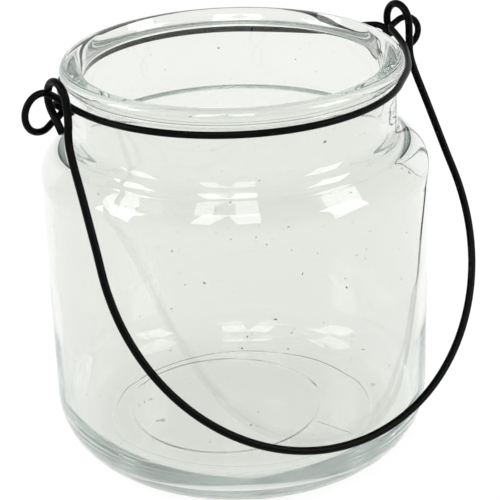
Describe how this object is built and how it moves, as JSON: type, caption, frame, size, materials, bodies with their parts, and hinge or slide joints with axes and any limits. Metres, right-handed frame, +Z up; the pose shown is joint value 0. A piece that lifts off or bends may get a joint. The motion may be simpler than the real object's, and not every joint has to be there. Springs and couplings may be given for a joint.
{
  "type": "jar lantern",
  "caption": "Round clear glass jar lantern with a wide rimmed mouth, a black wire collar under the rim and a swinging black wire bail handle.",
  "frame": {"origin": "centre of the jar's flat standing face, on the jar's axis", "axes": "+Z up the jar's axis, -X and +X towards the two eyes of the wire collar, -Y towards the side the bail hangs on"},
  "size_m": [0.139, 0.1178, 0.127],
  "materials": {
    "clear_glass": "clear pressed glass with a faint green tint",
    "black_wire": "satin black"
  },
  "bodies": {
    "jar": {"glass_jar": "clear_glass"},
    "collar": {"neck_wire": "black_wire"},
    "bail": {"bail_handle": "black_wire"}
  },
  "joints": [
    {"name": "collar_turn", "type": "hinge", "parent": "jar", "child": "collar", "pos_m": [0, 0, 0.1164], "axis": [0, 0, 1], "continuous": true},
    {"name": "bail_swing", "type": "hinge", "parent": "collar", "child": "bail", "pos_m": [0.0019, 0.0005, 0.1205], "axis": [-1, 0, 0], "range_deg": [0, 250]}
  ]
}
